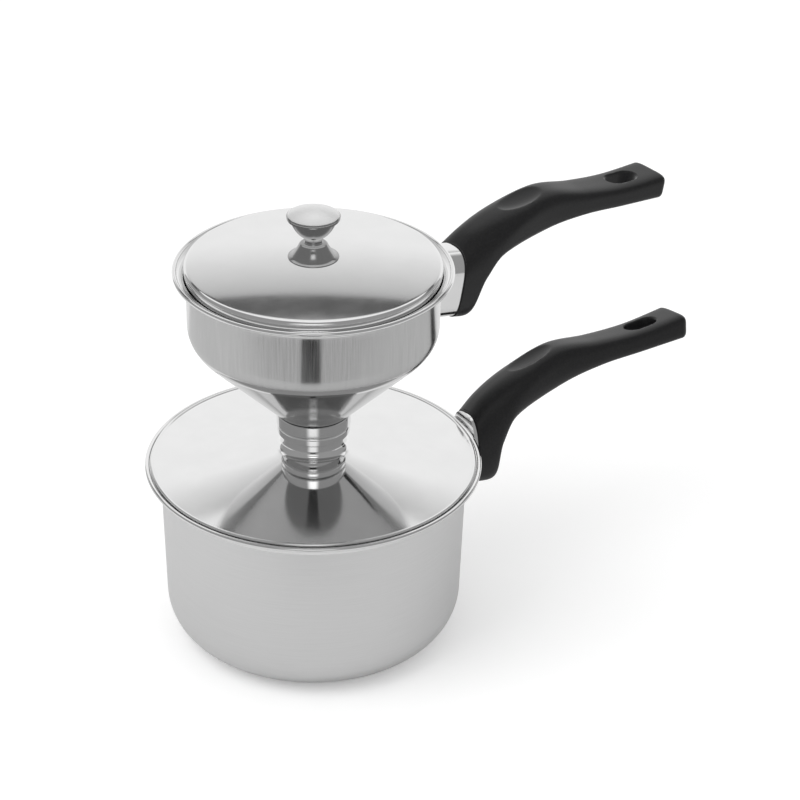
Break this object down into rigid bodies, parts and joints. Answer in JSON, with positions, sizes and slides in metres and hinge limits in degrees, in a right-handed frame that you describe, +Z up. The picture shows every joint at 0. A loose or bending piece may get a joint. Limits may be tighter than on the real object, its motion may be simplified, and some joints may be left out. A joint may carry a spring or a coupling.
{
  "type": "couscous steamer",
  "caption": "Stainless couscous steamer: saucepan with a necked steam cover, and on the neck a funnel-bottomed pan with pierced plate, knobbed lid and bakelite handles.",
  "frame": {"origin": "centre of the pot's flat base, on the hob", "axes": "+Z up along the axis of pot, neck, pan and lid; +X along the pot's handle, seen from above"},
  "size_m": [0.3143, 0.1774, 0.2452],
  "materials": {
    "satin_steel": "satin stainless steel, brushed on the pan's wall",
    "mirror_steel": "mirror-polished stainless steel",
    "plain_steel": "plain mill-finished steel",
    "bakelite": "satin black bakelite"
  },
  "bodies": {
    "pot": {"pot_body": "satin_steel", "pot_bracket": "plain_steel", "pot_flame_guard": "mirror_steel", "pot_handle": "bakelite", "pot_handle_washer": "plain_steel", "pot_handle_screw": "plain_steel"},
    "cover": {"steam_cover": "mirror_steel"},
    "collar": {"coupling_collar": "mirror_steel"},
    "pan": {"pan_body": "satin_steel", "pan_funnel": "mirror_steel", "pan_spigot": "mirror_steel", "pan_bracket": "plain_steel", "pan_flame_guard": "mirror_steel", "pan_handle": "bakelite", "pan_handle_washer": "plain_steel", "pan_handle_screw": "plain_steel"},
    "plate": {"steam_plate": "plain_steel"},
    "lid": {"lid_shell": "mirror_steel", "knob_base": "mirror_steel", "knob_neck_ring": "mirror_steel", "knob_cup": "mirror_steel", "knob_cap": "mirror_steel", "knob_washer": "plain_steel", "knob_screw": "plain_steel"}
  },
  "joints": [
    {"name": "cover_lift", "type": "slide", "parent": "pot", "child": "cover", "axis": [0, 0, 1], "range_m": [0, 0.08]},
    {"name": "collar_lift", "type": "slide", "parent": "cover", "child": "collar", "axis": [0, 0, 1], "range_m": [0, 0.06]},
    {"name": "pan_swivel", "type": "hinge", "parent": "collar", "child": "pan", "pos_m": [0, 0, 0.12], "axis": [0, 0, 1], "continuous": true},
    {"name": "plate_lift", "type": "slide", "parent": "pan", "child": "plate", "axis": [0, 0, 1], "range_m": [0, 0.06]},
    {"name": "lid_lift", "type": "slide", "parent": "plate", "child": "lid", "axis": [0, 0, 1], "range_m": [0, 0.08]}
  ]
}
